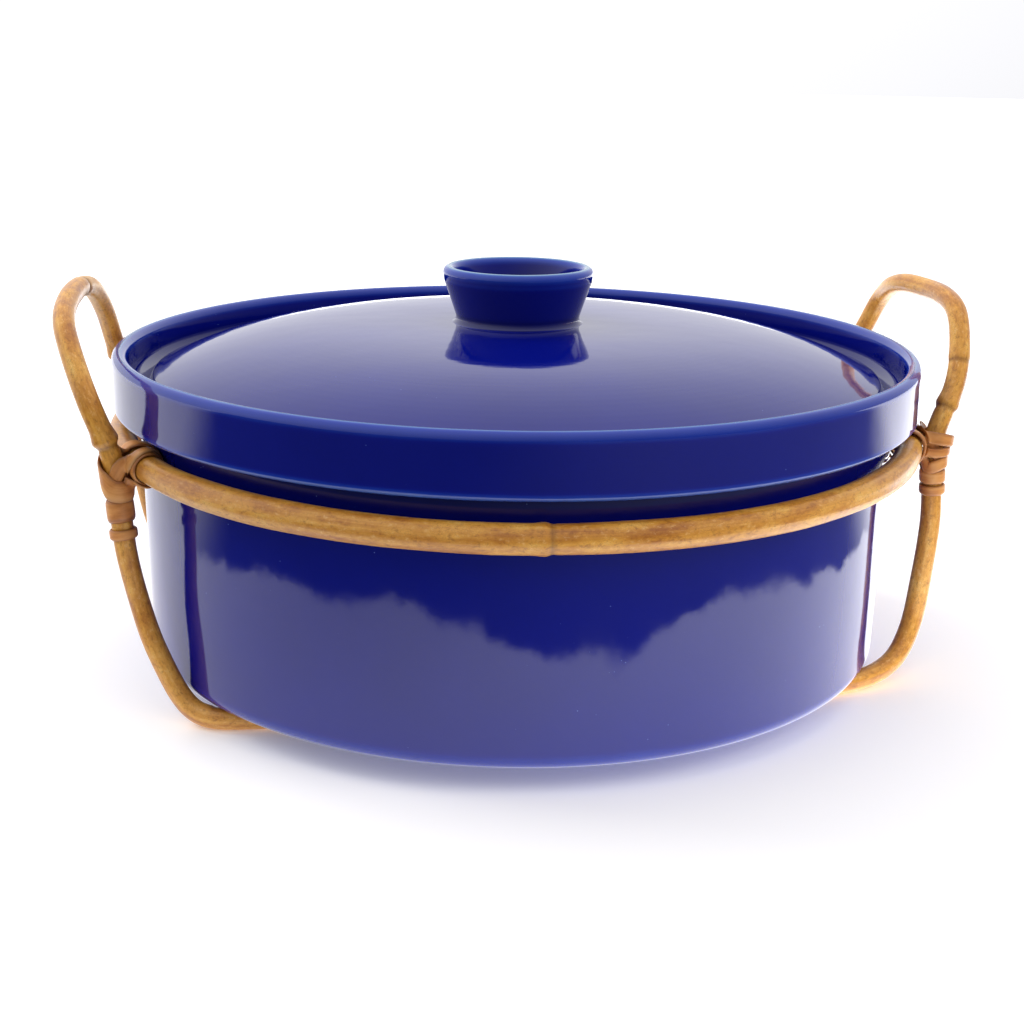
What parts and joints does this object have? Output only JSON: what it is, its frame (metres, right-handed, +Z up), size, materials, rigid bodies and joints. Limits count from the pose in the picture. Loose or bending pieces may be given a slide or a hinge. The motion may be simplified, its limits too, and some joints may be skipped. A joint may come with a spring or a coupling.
{
  "type": "casserole pot in a cane carrier",
  "caption": "Round glazed casserole with a sunk domed lid and cup-shaped knob, standing in a bent-cane carrier with upright loop handles.",
  "frame": {"origin": "on the floor, under the middle of the pot and its carrier", "axes": "+Z up along the pot's axis, +X towards the right handle, -Y towards the front"},
  "size_m": [0.3025, 0.2742, 0.1342],
  "materials": {
    "glaze": "glossy cobalt-blue glaze, paler where it thins at the edges",
    "cane": "smooth varnished cane with brown mottling",
    "binding": "flat split-cane strip, satin reddish brown",
    "dowel": "dark stained dowel",
    "steel": "plain drawn nail"
  },
  "bodies": {
    "carrier": {"hoop": "cane", "hoop_splice_dowel": "dowel", "cane_left_front": "cane", "cane_left_back": "cane", "cane_right": "cane", "handle_splice_dowel": "dowel", "runner_splice_dowels": "dowel", "joint_brads": "steel", "lashing_front_left": "binding", "lashing_front_right": "binding", "lashing_back_left": "binding", "lashing_back_right": "binding", "wide_collar_front_left": "binding", "wide_collar_front_right": "binding", "wide_collar_back_left": "binding", "wide_collar_back_right": "binding", "narrow_collar_front_left": "binding", "narrow_collar_front_right": "binding", "narrow_collar_back_left": "binding", "narrow_collar_back_right": "binding"},
    "pot": {"pot": "glaze"},
    "lid": {"lid": "glaze", "lid_knob": "glaze"}
  },
  "joints": [
    {"name": "pot_lift", "type": "slide", "parent": "carrier", "child": "pot", "axis": [0, 0, 1], "range_m": [0, 0.14]},
    {"name": "lid_lift", "type": "slide", "parent": "pot", "child": "lid", "axis": [0, 0, 1], "range_m": [0, 0.08]}
  ]
}
